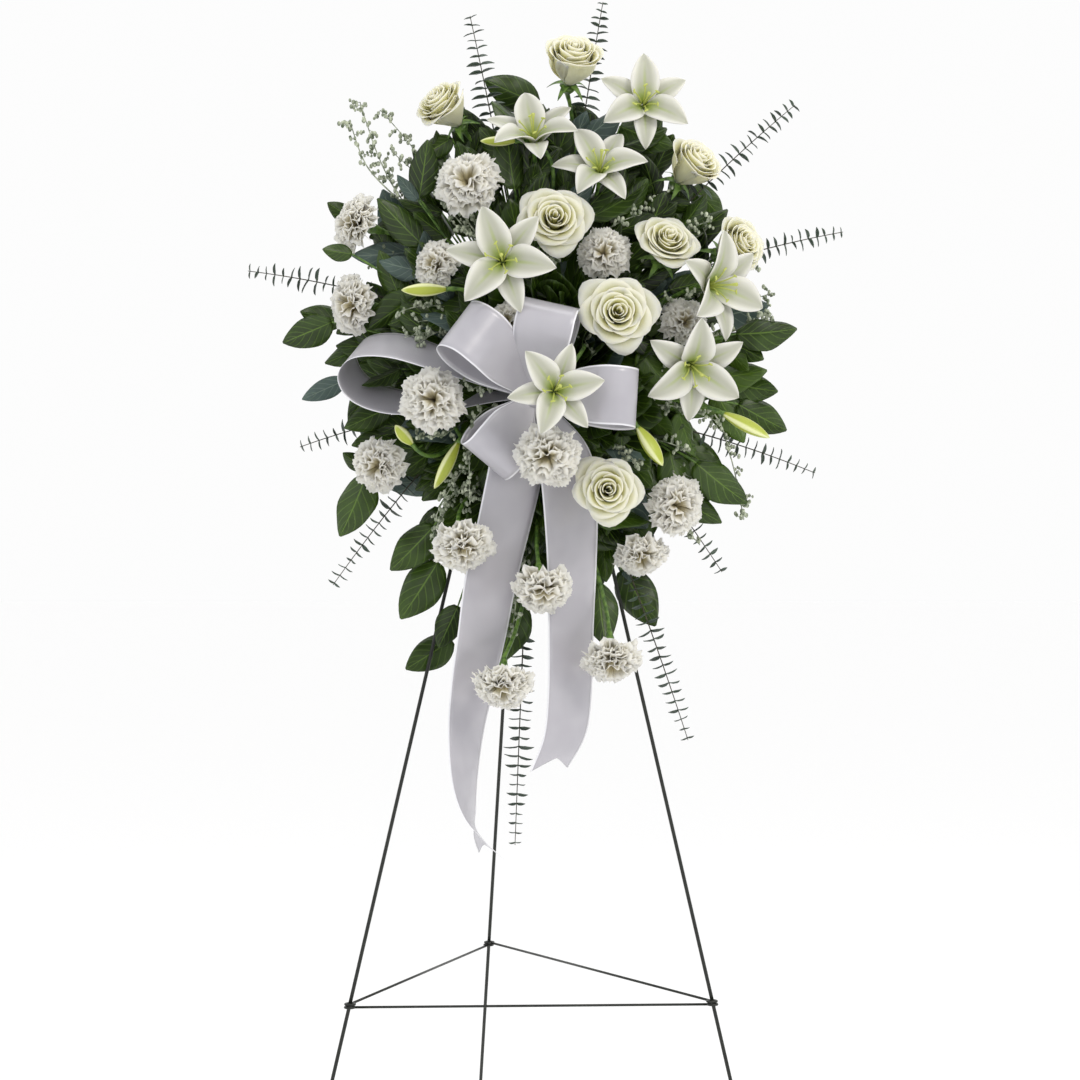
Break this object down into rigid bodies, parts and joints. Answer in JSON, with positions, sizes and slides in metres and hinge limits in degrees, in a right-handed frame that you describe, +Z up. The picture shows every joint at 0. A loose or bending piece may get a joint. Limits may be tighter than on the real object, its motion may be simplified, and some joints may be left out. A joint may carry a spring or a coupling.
{
  "type": "standing funeral arrangement",
  "caption": "One-sided standing spray of white roses, lilies and carnations with a satin bow, arranged in floral foam on a folding wire tripod easel.",
  "frame": {"origin": "on the floor, under the middle of the whole arrangement's width and depth", "axes": "+Z up, the spray faces -Y, the easel's back leg stands towards +Y"},
  "size_m": [0.7179, 0.699, 1.5865],
  "materials": {
    "wire": "baked dark green enamel on drawn steel wire",
    "tray_plastic": "injection moulded polypropylene",
    "floral_foam": "open cell phenolic foam, soaked",
    "satin_ribbon": "white polyester satin",
    "rose_petals": "ivory white petals with a green-yellow heart",
    "carnation_petals": "white frilled petals",
    "lily_petals": "white petals with a green-yellow throat",
    "lily_buds": "waxy yellow-green buds",
    "eucalyptus_leaves": "dull grey-green leaves on a woody twig",
    "seeded_eucalyptus": "small grey-green seeds on thin strings",
    "salal_leaves": "glossy dark green leaves and green stems"
  },
  "bodies": {
    "root": {"leg_left": "wire", "leg_right": "wire", "leg_back": "wire", "crossbar": "wire", "brace_left": "wire", "brace_right": "wire", "foam_tray": "tray_plastic", "foam_brick": "floral_foam", "bow": "satin_ribbon", "rose_1": "rose_petals", "rose_2": "rose_petals", "rose_3": "rose_petals", "rose_4": "rose_petals", "rose_5": "rose_petals", "rose_6": "rose_petals", "rose_7": "rose_petals", "rose_8": "rose_petals", "carnation_1": "carnation_petals", "carnation_2": "carnation_petals", "carnation_3": "carnation_petals", "carnation_4": "carnation_petals", "carnation_5": "carnation_petals", "carnation_6": "carnation_petals", "carnation_7": "carnation_petals", "carnation_8": "carnation_petals", "carnation_9": "carnation_petals", "carnation_10": "carnation_petals", "carnation_11": "carnation_petals", "carnation_12": "carnation_petals", "carnation_13": "carnation_petals", "carnation_14": "carnation_petals", "carnation_15": "carnation_petals", "carnation_16": "carnation_petals", "lily_1": "lily_petals", "lily_2": "lily_petals", "lily_3": "lily_petals", "lily_4": "lily_petals", "lily_5": "lily_petals", "lily_6": "lily_petals", "lily_7": "lily_petals", "lily_bud_1": "lily_buds", "lily_bud_2": "lily_buds", "lily_bud_3": "lily_buds", "lily_bud_4": "lily_buds", "lily_bud_5": "lily_buds", "lily_bud_6": "lily_buds", "eucalyptus_1": "eucalyptus_leaves", "eucalyptus_2": "eucalyptus_leaves", "eucalyptus_3": "eucalyptus_leaves", "eucalyptus_4": "eucalyptus_leaves", "eucalyptus_5": "eucalyptus_leaves", "eucalyptus_6": "eucalyptus_leaves", "eucalyptus_7": "eucalyptus_leaves", "eucalyptus_8": "eucalyptus_leaves", "seeded_left": "seeded_eucalyptus", "seeded_right": "seeded_eucalyptus", "seeded_middle": "seeded_eucalyptus", "greenery": "salal_leaves"}
  },
  "joints": []
}
